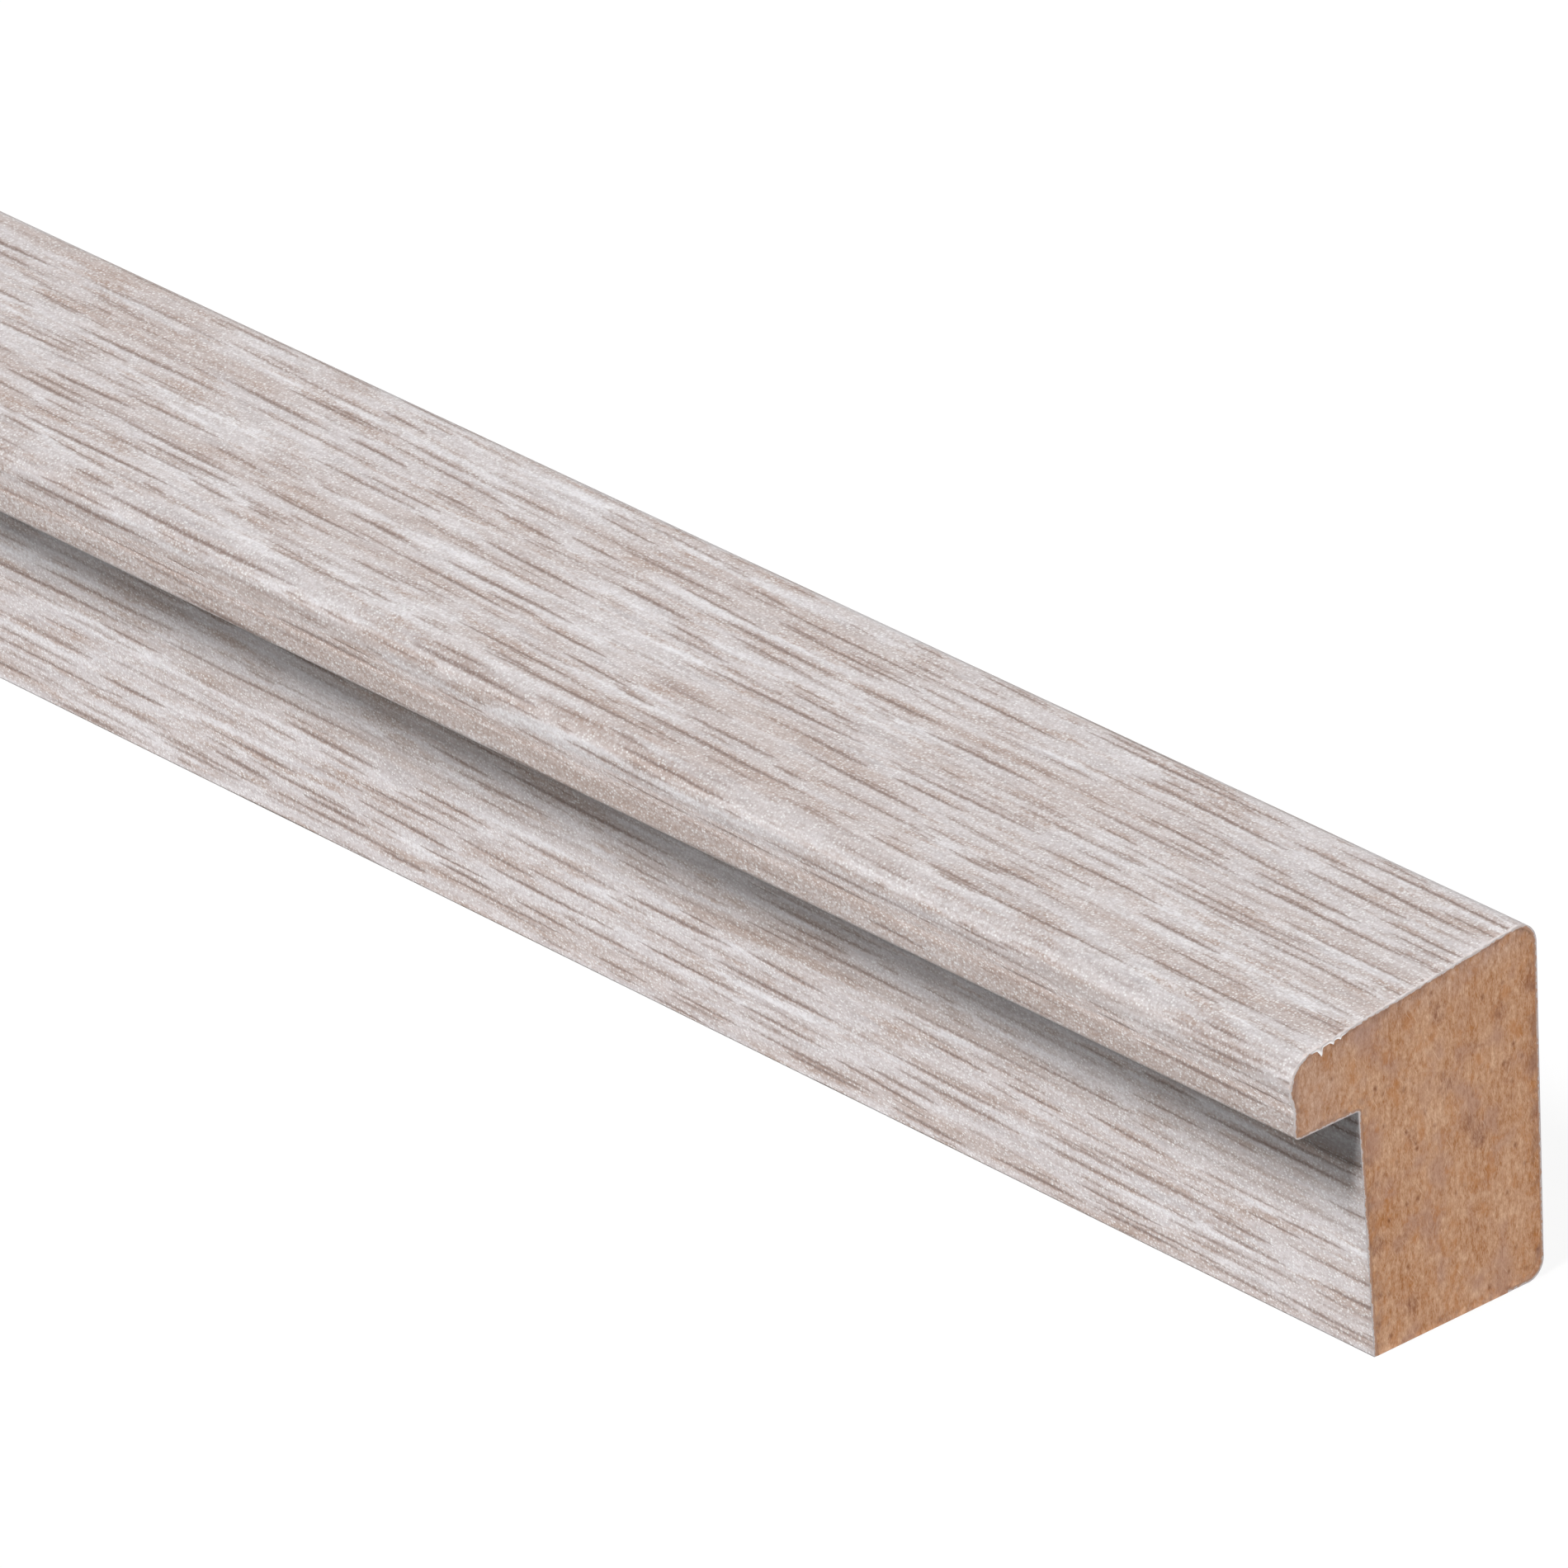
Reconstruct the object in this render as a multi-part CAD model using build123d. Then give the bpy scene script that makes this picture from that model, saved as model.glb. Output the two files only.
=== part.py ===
from build123d import *
from dataclasses import dataclass
from math import acos, cos, degrees, radians, tan
import os

# Panel end profile: a length of machined fibreboard moulding wrapped in a decor foil.
# It stands on its foot. X runs along its length, +Y is its plain back, -Y is the front,
# where the lip reaches over the edge of a wall panel, and Z = 0 is the foot that goes to
# the wall. Sizes are in millimetres and angles in degrees.

# Driving dimensions of the profile, over its foil
LENGTH = 2600.0          # one length of stock
REBATE_HEIGHT = 16.7     # foot to the underside of the lip, the room for a panel's thickness
REBATE_DEPTH = 5.1       # reach of the lip past the leg
LEG_THICKNESS = 14.6     # leg, front to back, at the height of the lip's underside
LEG_DRAFT = 2.6          # angle at which the leg's front narrows towards the foot
LIP_SQUARE = 1.75        # upright stretch of the lip's edge, below its ogee
NOSE_STEP = 0.3          # how far the ogee's nose stands proud of that upright stretch
FACE_SLOPE = 6.5         # angle at which the face rises from the nose to the back

# Edge radii: those of rounded edges are cut on the board, those of hollows are the foil's own
NOSE_RADIUS = 1.95
BACK_EDGE_RADIUS = 1.4
FOOT_EDGE_RADIUS = 1.05
LIP_EDGE_RADIUS = 0.15
COVE_RADIUS = 1.7        # hollow of the ogee, between the nose and the upright stretch
NOTCH_RADIUS = 0.15      # inner corner of the rebate

# The wrapped foil
FOIL_THICKNESS = 0.25
FOIL_RETURN = 3.0        # how far the foil turns in under the foot, from the back

# Places that follow, across the section
WIDTH = LEG_THICKNESS + REBATE_DEPTH + NOSE_STEP
BACK = WIDTH / 2
LEG_FRONT = BACK - LEG_THICKNESS
LIP_FRONT = LEG_FRONT - REBATE_DEPTH
RETURN_END = BACK - FOIL_RETURN

# Two bends closer than this run into each other with no straight between them
MEETING_GAP = 1e-6


@dataclass(frozen=True)
class Bend:
    """A bend of the foil: its centre, the radius of its decor face, and where its arc runs."""

    centre: Vector
    face_radius: float
    hollow: bool
    start: float
    sweep: float

    def arc(self, depth: float) -> Edge:
        """Return the bend's arc at this depth below the decor face."""
        inwards = depth if self.hollow else -depth
        return CenterArc(self.centre, self.face_radius + inwards, self.start, self.sweep)


def polar(distance: float, angle: float) -> Vector:
    """Return the step across the section of this length and direction."""
    return Vector(distance, 0).rotate(Axis.Z, angle)


def leg_front_at(height: float) -> float:
    """Return where the decor face of the leg's front lies at this height."""
    return LEG_FRONT + (REBATE_HEIGHT - height) * tan(radians(LEG_DRAFT))


def bends() -> list[Bend]:
    """Return the foil's bends in order, from the front of the leg round to the foot."""
    lip_edge = LIP_EDGE_RADIUS + FOIL_THICKNESS
    nose = NOSE_RADIUS + FOIL_THICKNESS
    back_edge = BACK_EDGE_RADIUS + FOIL_THICKNESS
    foot_edge = FOOT_EDGE_RADIUS + FOIL_THICKNESS

    notch_height = REBATE_HEIGHT - NOTCH_RADIUS
    notch_front = leg_front_at(notch_height) - NOTCH_RADIUS / cos(radians(LEG_DRAFT))
    notch_centre = Vector(notch_front, notch_height)
    lip_centre = Vector(LIP_FRONT + lip_edge, REBATE_HEIGHT + lip_edge)

    # The ogee leaves the upright stretch as a cove and turns over into the nose.
    ogee_turn = degrees(acos(1 - NOSE_STEP / (COVE_RADIUS + nose)))
    cove_centre = Vector(LIP_FRONT - COVE_RADIUS, REBATE_HEIGHT + LIP_SQUARE)
    nose_centre = cove_centre + polar(COVE_RADIUS + nose, ogee_turn)

    # The face is the straight line that touches both the nose and the rounded back edge.
    face_start = nose_centre + polar(nose - back_edge, 90 + FACE_SLOPE)
    face_run = (BACK - back_edge - face_start.X) / cos(radians(FACE_SLOPE))
    back_centre = face_start + polar(face_run, FACE_SLOPE)
    foot_centre = Vector(BACK - foot_edge, foot_edge)

    return [
        Bend(notch_centre, NOTCH_RADIUS, True, LEG_DRAFT, 90 - LEG_DRAFT),
        Bend(lip_centre, lip_edge, False, 270, -90),
        Bend(cove_centre, COVE_RADIUS, True, 0, ogee_turn),
        Bend(nose_centre, nose, False, 180 + ogee_turn, FACE_SLOPE - 90 - ogee_turn),
        Bend(back_centre, back_edge, False, 90 + FACE_SLOPE, -90 - FACE_SLOPE),
        Bend(foot_centre, foot_edge, False, 0, -90),
    ]


def wrap_line(depth: float) -> list[Edge]:
    """Return the section's line at this depth below the decor face, from the leg's foot to the return."""
    arcs = [bend.arc(depth) for bend in bends()]
    leg_foot = Vector(leg_front_at(0) + depth / cos(radians(LEG_DRAFT)), 0)
    edges = [Line(leg_foot, arcs[0] @ 0)]
    for arc, following in zip(arcs, arcs[1:]):
        edges.append(arc)
        if (following @ 0 - arc @ 1).length > MEETING_GAP:
            edges.append(Line(arc @ 1, following @ 0))
    return edges + [arcs[-1], Line(arcs[-1] @ 1, Vector(RETURN_END, depth))]


def stock(outline: list[Edge]) -> Part:
    """Return the bar that a closed section outline gives over the whole length."""
    far_end = Plane(origin=(-LENGTH / 2, 0, 0), x_dir=(0, 1, 0), z_dir=(1, 0, 0))
    return extrude(far_end * make_face(outline), LENGTH)


def mdf_core() -> Part:
    """Return the board, stepped up under the back of the foot so that the foil ends flush there."""
    glued = wrap_line(FOIL_THICKNESS)
    step = Line(glued[-1] @ 1, Vector(RETURN_END, 0))
    foot = Line(step @ 1, glued[0] @ 0)
    return stock(glued + [step, foot])


def decor_foil() -> Part:
    """Return the foil, one strip bent round the board, with its two long edges cut at the foot."""
    face = wrap_line(0)
    glued = wrap_line(FOIL_THICKNESS)
    leg_edge = Line(face[0] @ 0, glued[0] @ 0)
    return_edge = Line(face[-1] @ 1, glued[-1] @ 1)
    return stock(face + glued + [leg_edge, return_edge])


os.makedirs("parts", exist_ok=True)
for piece in (mdf_core, decor_foil):
    solid = piece()
    size = solid.bounding_box().size
    print(f"{piece.__name__}: {solid.volume:.0f} mm3, {size.X:.2f} x {size.Y:.2f} x {size.Z:.2f} mm")
    export_step(solid, f"parts/{piece.__name__}.step")
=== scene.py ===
"""Panel end profile: a sawn length of fibreboard moulding, wrapped in a pale oak decor foil.

The bar lies along X and stands on its foot at Z = 0. Its plain back is at +Y, its lip and rebate
are at -Y, and the sawn end that the camera looks at is at +X. The two pieces are worked out in
millimetres from the sizes of the section, and their meshes are in metres.
"""

import logging
from dataclasses import dataclass, field
from enum import Enum
from functools import reduce
from math import acos, ceil, cos, degrees, pi, radians, sin, tan

import bpy
import numpy as np
from mathutils import Matrix, Vector


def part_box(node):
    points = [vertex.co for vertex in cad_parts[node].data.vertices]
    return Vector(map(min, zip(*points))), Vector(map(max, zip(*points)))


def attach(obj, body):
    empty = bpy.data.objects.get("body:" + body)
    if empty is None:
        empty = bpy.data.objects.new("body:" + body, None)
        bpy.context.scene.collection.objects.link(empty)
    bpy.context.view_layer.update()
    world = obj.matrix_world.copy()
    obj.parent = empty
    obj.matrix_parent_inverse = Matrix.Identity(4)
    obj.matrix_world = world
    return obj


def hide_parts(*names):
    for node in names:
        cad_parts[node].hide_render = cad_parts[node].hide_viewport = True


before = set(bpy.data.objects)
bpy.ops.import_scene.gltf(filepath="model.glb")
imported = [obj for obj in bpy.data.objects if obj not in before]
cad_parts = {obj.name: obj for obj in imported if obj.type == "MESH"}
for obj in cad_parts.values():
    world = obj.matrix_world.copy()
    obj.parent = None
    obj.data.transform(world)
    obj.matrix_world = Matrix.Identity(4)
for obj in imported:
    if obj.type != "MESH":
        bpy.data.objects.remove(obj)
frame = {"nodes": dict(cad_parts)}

LOG = logging.getLogger("panel_end_profile")

# The frame's body, and the maps and attributes of the meshes
BODY = "root"
DECOR_MAP = "Decor"
BAKE_MAP = "OFBake"
RIM = "rim"
DEPTH = "depth"

# A millimetre in metres, and the gap in millimetres under which two bends run into each other
MM = 0.001
MEETING_GAP = 1e-6

Socket = bpy.types.NodeSocket
Value = Socket | float
Colour = tuple[int, int, int]
Pair = tuple[float, float]
Triple = tuple[float, float, float]


class End(Enum):
    """The two sawn ends of the stock, each with the direction along X in which it faces."""

    FAR = -1
    NEAR = 1


class Slot(Enum):
    """Material slots of a piece's mesh."""

    FACE = 0
    CUT = 1


class Strip(Enum):
    """Narrow strips of the foil's bake map, numbered from its top. The printed face lies below them."""

    FRAYED = 0
    ENDS = 2
    SIDES = 4
    GLUED = 6
    BELOW = 8


class Output(Enum):
    """What a node tree gives its look to."""

    MATERIAL = "ShaderNodeOutputMaterial"
    WORLD = "ShaderNodeOutputWorld"


def polar(distance: float, angle: float) -> np.ndarray:
    """Work out a step across the section.

    Args:
        distance: length of the step, in millimetres.
        angle: its direction, in degrees from +Y towards +Z.

    Returns:
        The step as (y, z).
    """
    return distance * np.array([cos(radians(angle)), sin(radians(angle))])


def linear(colour: Colour) -> tuple[float, float, float, float]:
    """Turn a display colour into the linear colour that a shader takes, by the sRGB curve.

    Args:
        colour: red, green and blue from 0 to 255.

    Returns:
        Linear red, green and blue from 0 to 1, and a full alpha.
    """
    share = np.array(colour) / 255
    value = np.where(share <= 0.04045, share / 12.92, ((share + 0.055) / 1.055) ** 2.4)
    return (*value.tolist(), 1.0)


@dataclass(frozen=True)
class Ripple:
    """An uneven line: the mean of sine waves, each at a random phase.

    Attributes:
        waves: lengths of the waves, in millimetres.
        seed: what the phases are drawn from.
    """

    waves: tuple[float, ...]
    seed: int

    def at(self, place: np.ndarray, step: int = 0) -> np.ndarray:
        """Work out the line's height.

        Args:
            place: where it is wanted, in millimetres.
            step: added to the seed, for another line of the same waves.

        Returns:
            The height at each place, from 0 to 1.
        """
        phase = np.random.default_rng(self.seed + step).uniform(0, 2 * pi, len(self.waves))
        turns = 2 * pi * place[..., None] / np.array(self.waves) + phase
        return 0.5 + 0.5 * np.sin(turns).mean(axis=-1)


@dataclass(frozen=True)
class Stretch:
    """A stretch of the decor face that fades out at both ends, in millimetres of arc from the leg's foot.

    Attributes:
        start: where it starts.
        end: where it ends.
        fade: how far in from either end it is full.
    """

    start: float
    end: float
    fade: float

    def share(self, arc: np.ndarray) -> np.ndarray:
        """Work out how much each place is within the stretch: the lesser of two straight ramps, 0 to 1."""
        return np.clip(np.minimum(arc - self.start, self.end - arc) / self.fade, 0, 1)


@dataclass(frozen=True)
class Ease:
    """How one number of a finish follows another.

    Attributes:
        start: the other number up to which it is low.
        end: the other number from which it is high.
        low: what it is before the start.
        high: what it is after the end.
        smooth: whether it eases in and out, and doesn't follow a straight line.
    """

    start: float
    end: float
    low: float = 0.0
    high: float = 1.0
    smooth: bool = True


@dataclass(frozen=True)
class Clouds:
    """Cloudy noise in a finish.

    Attributes:
        size: length and width of a cloud on the foil, or its width and height on the board, in millimetres.
        seed: place in the noise that it is taken from.
        detail: how many finer layers of clouds lie on it.
        rough: how strong those layers are.
        ease: how what it drives follows it.
        lean: how far it leans to the side for each millimetre of height, on the board.
    """

    size: Pair
    seed: float
    detail: float = 2.0
    rough: float = 0.5
    ease: Ease = Ease(0.0, 1.0)
    lean: float = 0.0


@dataclass(frozen=True)
class Bend:
    """A bend of the foil, as an arc across the section.

    Attributes:
        centre: middle of the arc, as (y, z) in millimetres.
        radius: radius of the decor face.
        hollow: whether the bend is a hollow, whose deeper lines have the larger radius.
        start: direction from the centre to the start of the arc, in degrees.
        sweep: how far the arc turns, in degrees, less than 0 for clockwise.
    """

    centre: np.ndarray
    radius: float
    hollow: bool
    start: float
    sweep: float

    @property
    def length(self) -> float:
        """Length of the decor face round the bend."""
        return self.radius * abs(radians(self.sweep))

    def carry(self, share: np.ndarray) -> tuple[np.ndarray, np.ndarray]:
        """Place points round the bend: the centre plus the radius, turned by a share of the sweep.

        Args:
            share: how far round each point lies, from 0 to 1.

        Returns:
            The points, and the unit steps from the decor face into the board.
        """
        angle = np.radians(self.start + self.sweep * share)
        outwards = np.column_stack([np.cos(angle), np.sin(angle)])
        return self.centre + self.radius * outwards, outwards if self.hollow else -outwards


@dataclass(frozen=True)
class WrapLine:
    """The decor face as a line across the section, from the foot of the leg round to the return.

    Attributes:
        face: points of the line, as (y, z) in millimetres.
        inward: for each point, the step to the line that is one millimetre deeper.
        arc: length along the line up to each point.
    """

    face: np.ndarray
    inward: np.ndarray
    arc: np.ndarray

    def at(self, depth: np.ndarray | float) -> np.ndarray:
        """Place the line below the decor face: each point plus its inward step times the depth.

        Args:
            depth: one depth, or an array of depths whose last axis follows the line.

        Returns:
            Points as (..., 2).
        """
        return self.face + self.inward * np.asarray(depth)[..., None]


@dataclass(frozen=True)
class Section:
    """Sizes of the profile's section, in millimetres and degrees. Its radii are those of the decor face.

    Attributes:
        rebate_height: from the foot to the underside of the lip.
        rebate_depth: reach of the lip past the leg.
        leg_thickness: front to back of the leg, at the height of the lip's underside.
        leg_draft: angle at which the leg's front narrows towards the foot.
        lip_square: upright stretch of the lip's edge.
        nose_step: how far the nose stands proud of that stretch.
        face_slope: angle at which the face rises from the nose to the back.
        nose_radius: radius of the nose.
        back_edge_radius: radius between the face and the back.
        foot_edge_radius: radius between the back and the foot.
        lip_edge_radius: radius at the lip's lower edge.
        cove_radius: radius of the hollow under the nose.
        notch_radius: radius of the rebate's inner corner.
        foil_thickness: thickness of the foil.
        foil_return: how far the foil turns in under the foot.
    """

    rebate_height: float = 16.7
    rebate_depth: float = 5.1
    leg_thickness: float = 14.6
    leg_draft: float = 2.6
    lip_square: float = 1.75
    nose_step: float = 0.3
    face_slope: float = 6.5
    nose_radius: float = 2.2
    back_edge_radius: float = 1.65
    foot_edge_radius: float = 1.3
    lip_edge_radius: float = 0.4
    cove_radius: float = 1.7
    notch_radius: float = 0.15
    foil_thickness: float = 0.25
    foil_return: float = 3.0

    @property
    def back(self) -> float:
        """Where the back lies, half the width from the middle."""
        return (self.leg_thickness + self.rebate_depth + self.nose_step) / 2

    @property
    def lip_front(self) -> float:
        """Where the upright stretch of the lip lies."""
        return self.back - self.leg_thickness - self.rebate_depth

    @property
    def return_end(self) -> float:
        """Where the foil ends under the foot."""
        return self.back - self.foil_return

    def leg_front_at(self, height: float) -> float:
        """Where the front of the leg lies at this height."""
        fall = (self.rebate_height - height) * tan(radians(self.leg_draft))
        return self.back - self.leg_thickness + fall

    def bends(self) -> list[Bend]:
        """Work out the foil's bends.

        Returns:
            The bends in order, from the rebate's corner round to the foot's back edge.
        """
        notch_height = self.rebate_height - self.notch_radius
        notch_front = self.leg_front_at(notch_height) - self.notch_radius / cos(radians(self.leg_draft))
        notch = np.array([notch_front, notch_height])
        lip = np.array([self.lip_front, self.rebate_height]) + self.lip_edge_radius

        # The ogee leaves the upright stretch as a cove and turns over into the nose.
        ogee = self.cove_radius + self.nose_radius
        ogee_turn = degrees(acos(1 - self.nose_step / ogee))
        cove = np.array([self.lip_front - self.cove_radius, self.rebate_height + self.lip_square])
        nose = cove + polar(ogee, ogee_turn)

        # The face is the straight line that touches both the nose and the rounded back edge.
        face_start = nose + polar(self.nose_radius - self.back_edge_radius, 90 + self.face_slope)
        face_run = (self.back - self.back_edge_radius - face_start[0]) / cos(radians(self.face_slope))
        back_edge = face_start + polar(face_run, self.face_slope)
        foot_edge = np.array([self.back - self.foot_edge_radius, self.foot_edge_radius])

        return [
            Bend(notch, self.notch_radius, True, self.leg_draft, 90 - self.leg_draft),
            Bend(lip, self.lip_edge_radius, False, 270, -90),
            Bend(cove, self.cove_radius, True, 0, ogee_turn),
            Bend(nose, self.nose_radius, False, 180 + ogee_turn, self.face_slope - 90 - ogee_turn),
            Bend(back_edge, self.back_edge_radius, False, 90 + self.face_slope, -90 - self.face_slope),
            Bend(foot_edge, self.foot_edge_radius, False, 0, -90),
        ]

    def wrap_line(self, spacing: float, least_in_bend: int = 8) -> WrapLine:
        """Work out the decor face: straight runs between the bends, each cut into even shares.

        Args:
            spacing: most that neighbouring points lie apart.
            least_in_bend: fewest shares of a bend.

        Returns:
            The line, with its points close together in the bends.
        """
        place = np.array([self.leg_front_at(0), 0.0])
        inward = np.array([1 / cos(radians(self.leg_draft)), 0.0])
        faces, inwards = [], []

        def run_to(point: np.ndarray, step: np.ndarray) -> None:
            """Add a straight run from the last place, without its end point.

            Args:
                point: where the run ends.
                step: the inward step there.
            """
            length = float(np.linalg.norm(point - place))
            if length > MEETING_GAP:
                share = np.arange(ceil(length / spacing))[:, None] / ceil(length / spacing)
                faces.append(place + (point - place) * share)
                inwards.append(inward + (step - inward) * share)

        for bend in self.bends():
            ends, steps = bend.carry(np.array([0.0, 1.0]))
            run_to(ends[0], steps[0])
            count = max(least_in_bend, ceil(bend.length / spacing))
            points, towards = bend.carry(np.arange(count) / count)
            faces.append(points)
            inwards.append(towards)
            place, inward = ends[1], steps[1]
        finish, upwards = np.array([self.return_end, 0.0]), np.array([0.0, 1.0])
        run_to(finish, upwards)
        face = np.vstack([*faces, finish])
        arc = np.concatenate([[0], np.cumsum(np.linalg.norm(np.diff(face, axis=0), axis=1))])
        return WrapLine(face, np.vstack([*inwards, upwards]), arc)


@dataclass
class Patch:
    """Faces of one kind in a mesh.

    Attributes:
        corners: vertex numbers, as (faces, corners).
        maps: for each UV map, the places of those corners.
        slot: the material slot that the faces wear.
        smooth: whether they are shaded as one curved surface.
    """

    corners: np.ndarray
    maps: dict[str, np.ndarray]
    slot: Slot
    smooth: bool


def grid_quads(rows: int, columns: int, start: int = 0, closed: bool = False) -> np.ndarray:
    """Number the quads of a grid of vertices.

    Args:
        rows: vertices along the first way.
        columns: vertices along the second way, which run on within a row.
        start: number of the first vertex.
        closed: whether the last column joins the first.

    Returns:
        Vertex numbers as (quads, 4), going row, next row, next column.
    """
    row, column = np.meshgrid(np.arange(rows - 1), np.arange(columns - (not closed)), indexing="ij")
    after = (column + 1) % columns
    corners = [row * columns + column, (row + 1) * columns + column,
               (row + 1) * columns + after, row * columns + after]
    return start + np.stack(corners, axis=-1).reshape(-1, 4)


def build_mesh(name: str, points: np.ndarray, patches: list[Patch]) -> bpy.types.Object:
    """Put patches of faces into one mesh object at the origin.

    Args:
        name: name of the piece.
        points: vertices as (n, 3), in millimetres.
        patches: the faces, whose corners number those vertices.

    Returns:
        The object, linked into the scene.
    """
    mesh = bpy.data.meshes.new(name)
    counts = [len(patch.corners) for patch in patches]
    sizes = np.repeat([patch.corners.shape[1] for patch in patches], counts)
    mesh.vertices.add(len(points))
    mesh.vertices.foreach_set("co", (points * MM).astype(np.float32).ravel())
    mesh.loops.add(int(sizes.sum()))
    mesh.loops.foreach_set("vertex_index", np.concatenate([patch.corners.ravel() for patch in patches]))
    mesh.polygons.add(len(sizes))
    mesh.polygons.foreach_set("loop_start", np.cumsum(sizes) - sizes)
    mesh.polygons.foreach_set("material_index", np.repeat([patch.slot.value for patch in patches], counts))
    mesh.polygons.foreach_set("use_smooth", np.repeat([patch.smooth for patch in patches], counts))
    mesh.update(calc_edges=True)
    for key in patches[0].maps:
        layer = mesh.uv_layers.new(name=key, do_init=False)
        places = np.concatenate([patch.maps[key].reshape(-1, 2) for patch in patches])
        layer.uv.foreach_set("vector", places.astype(np.float32).ravel())
    mesh.validate()
    piece = bpy.data.objects.new(name, mesh)
    bpy.context.scene.collection.objects.link(piece)
    return piece


def tag_points(piece: bpy.types.Object, name: str, numbers: np.ndarray) -> None:
    """Give each vertex of a piece a number, as an attribute of this name."""
    layer = piece.data.attributes.new(name, "FLOAT", "POINT")
    layer.data.foreach_set("value", numbers.astype(np.float32).ravel())


class NodeSheet:
    """A node tree, with short ways to write down its sums, patterns and finishes."""

    def __init__(self, owner: bpy.types.Material | bpy.types.World) -> None:
        """Switch the owner's nodes on, and clear them.

        Args:
            owner: the material or world whose tree it is.
        """
        owner.use_nodes = True
        self.tree = owner.node_tree
        self.tree.nodes.clear()

    def feed(self, target: Socket, value: Value | tuple) -> None:
        """Link a socket to another, or set its own number or colour.

        Args:
            target: input socket of a node.
            value: what it is fed.
        """
        if isinstance(value, bpy.types.NodeSocket):
            self.tree.links.new(value, target)
        else:
            target.default_value = value

    def node(self, kind: str, *values: Value | tuple, **settings: str | bool) -> bpy.types.Node:
        """Add a node.

        Args:
            kind: its type.
            values: what its first inputs are fed, in their order.
            settings: what its own settings become.

        Returns:
            The node.
        """
        node = self.tree.nodes.new(kind)
        for key, setting in settings.items():
            setattr(node, key, setting)
        for target, value in zip(node.inputs, values):
            self.feed(target, value)
        return node

    def feed_named(self, node: bpy.types.Node, values: dict[str, Value | tuple]) -> None:
        """Feed a node's inputs by their names."""
        for name, value in values.items():
            self.feed(node.inputs[name], value)

    def math(self, operation: str, *operands: Value, clamp: bool = False) -> Socket:
        """Add one sum of numbers."""
        return self.node("ShaderNodeMath", *operands, operation=operation, use_clamp=clamp).outputs["Value"]

    def plus(self, first: Value, second: Value) -> Socket:
        """Add two numbers."""
        return self.math("ADD", first, second)

    def minus(self, first: Value, second: Value, clamp: bool = False) -> Socket:
        """Take the second number from the first."""
        return self.math("SUBTRACT", first, second, clamp=clamp)

    def times(self, first: Value, second: Value, clamp: bool = False) -> Socket:
        """Multiply two numbers."""
        return self.math("MULTIPLY", first, second, clamp=clamp)

    def over(self, first: Value, second: Value) -> Socket:
        """Divide the first number by the second."""
        return self.math("DIVIDE", first, second)

    def larger(self, first: Value, second: Value) -> Socket:
        """Take the larger of two numbers."""
        return self.math("MAXIMUM", first, second)

    def vector(self, x: Value, y: Value, z: Value = 0.0) -> Socket:
        """Put three numbers together as a vector."""
        return self.node("ShaderNodeCombineXYZ", x, y, z).outputs["Vector"]

    def split(self, vector: Socket) -> tuple[Socket, Socket, Socket]:
        """Take a vector or colour apart into three numbers."""
        return tuple(self.node("ShaderNodeSeparateXYZ", vector).outputs)

    def noise(self, place: Socket, detail: float, rough: float) -> Socket:
        """Add cloudy noise.

        Args:
            place: where it is wanted, in units of a cloud's size.
            detail: how many finer layers of clouds lie on it.
            rough: how strong those layers are.

        Returns:
            The noise, from 0 to 1 about a half.
        """
        node = self.node("ShaderNodeTexNoise", place, noise_dimensions="3D")
        self.feed_named(node, {"Scale": 1.0, "Detail": detail, "Roughness": rough})
        return node.outputs["Fac"]

    def cells(self, place: Socket) -> tuple[Socket, Socket, Socket, Socket]:
        """Add cells with random middles.

        Args:
            place: where they are wanted, in units of a cell's size.

        Returns:
            The distance to the nearest middle, and three random numbers from 0 to 1 of its cell.
        """
        node = self.node("ShaderNodeTexVoronoi", place, voronoi_dimensions="3D", feature="F1")
        self.feed_named(node, {"Scale": 1.0, "Randomness": 1.0})
        return node.outputs["Distance"], *self.split(node.outputs["Color"])

    def draws(self, place: Socket) -> tuple[Socket, Socket, Socket]:
        """Draw three random numbers from 0 to 1 for a place."""
        return self.split(self.node("ShaderNodeTexWhiteNoise", place, noise_dimensions="3D").outputs["Color"])

    def ramp(self, value: Value, start: Value, end: Value, low: Value = 0.0, high: Value = 1.0,
             smooth: bool = True) -> Socket:
        """Make a number follow another. Each of the numbers may be a socket.

        Args:
            value: the other number.
            start: the other number up to which it is low.
            end: the other number from which it is high.
            low: what it is before the start.
            high: what it is after the end.
            smooth: whether it eases in and out, and doesn't follow a straight line.

        Returns:
            The number.
        """
        kind = "SMOOTHSTEP" if smooth else "LINEAR"
        numbers = (value, start, end, low, high)
        node = self.node("ShaderNodeMapRange", *numbers, interpolation_type=kind, clamp=True)
        return node.outputs["Result"]

    def ease(self, value: Value, ease: Ease) -> Socket:
        """Make a number follow another, by an ease of the finish."""
        return self.ramp(value, ease.start, ease.end, ease.low, ease.high, ease.smooth)

    def between(self, draw: Socket, low: Value, high: Value) -> Socket:
        """Spread a random number of 0 to 1 evenly from low to high."""
        return self.ramp(draw, 0.0, 1.0, low, high, smooth=False)

    def within(self, place: Socket, stretch: Stretch) -> Socket:
        """Tell how much a place is within a stretch, from 0 to 1."""
        nearest = self.math("MINIMUM", self.minus(place, stretch.start), self.minus(stretch.end, place))
        return self.ramp(nearest, 0.0, stretch.fade, smooth=False)

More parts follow.
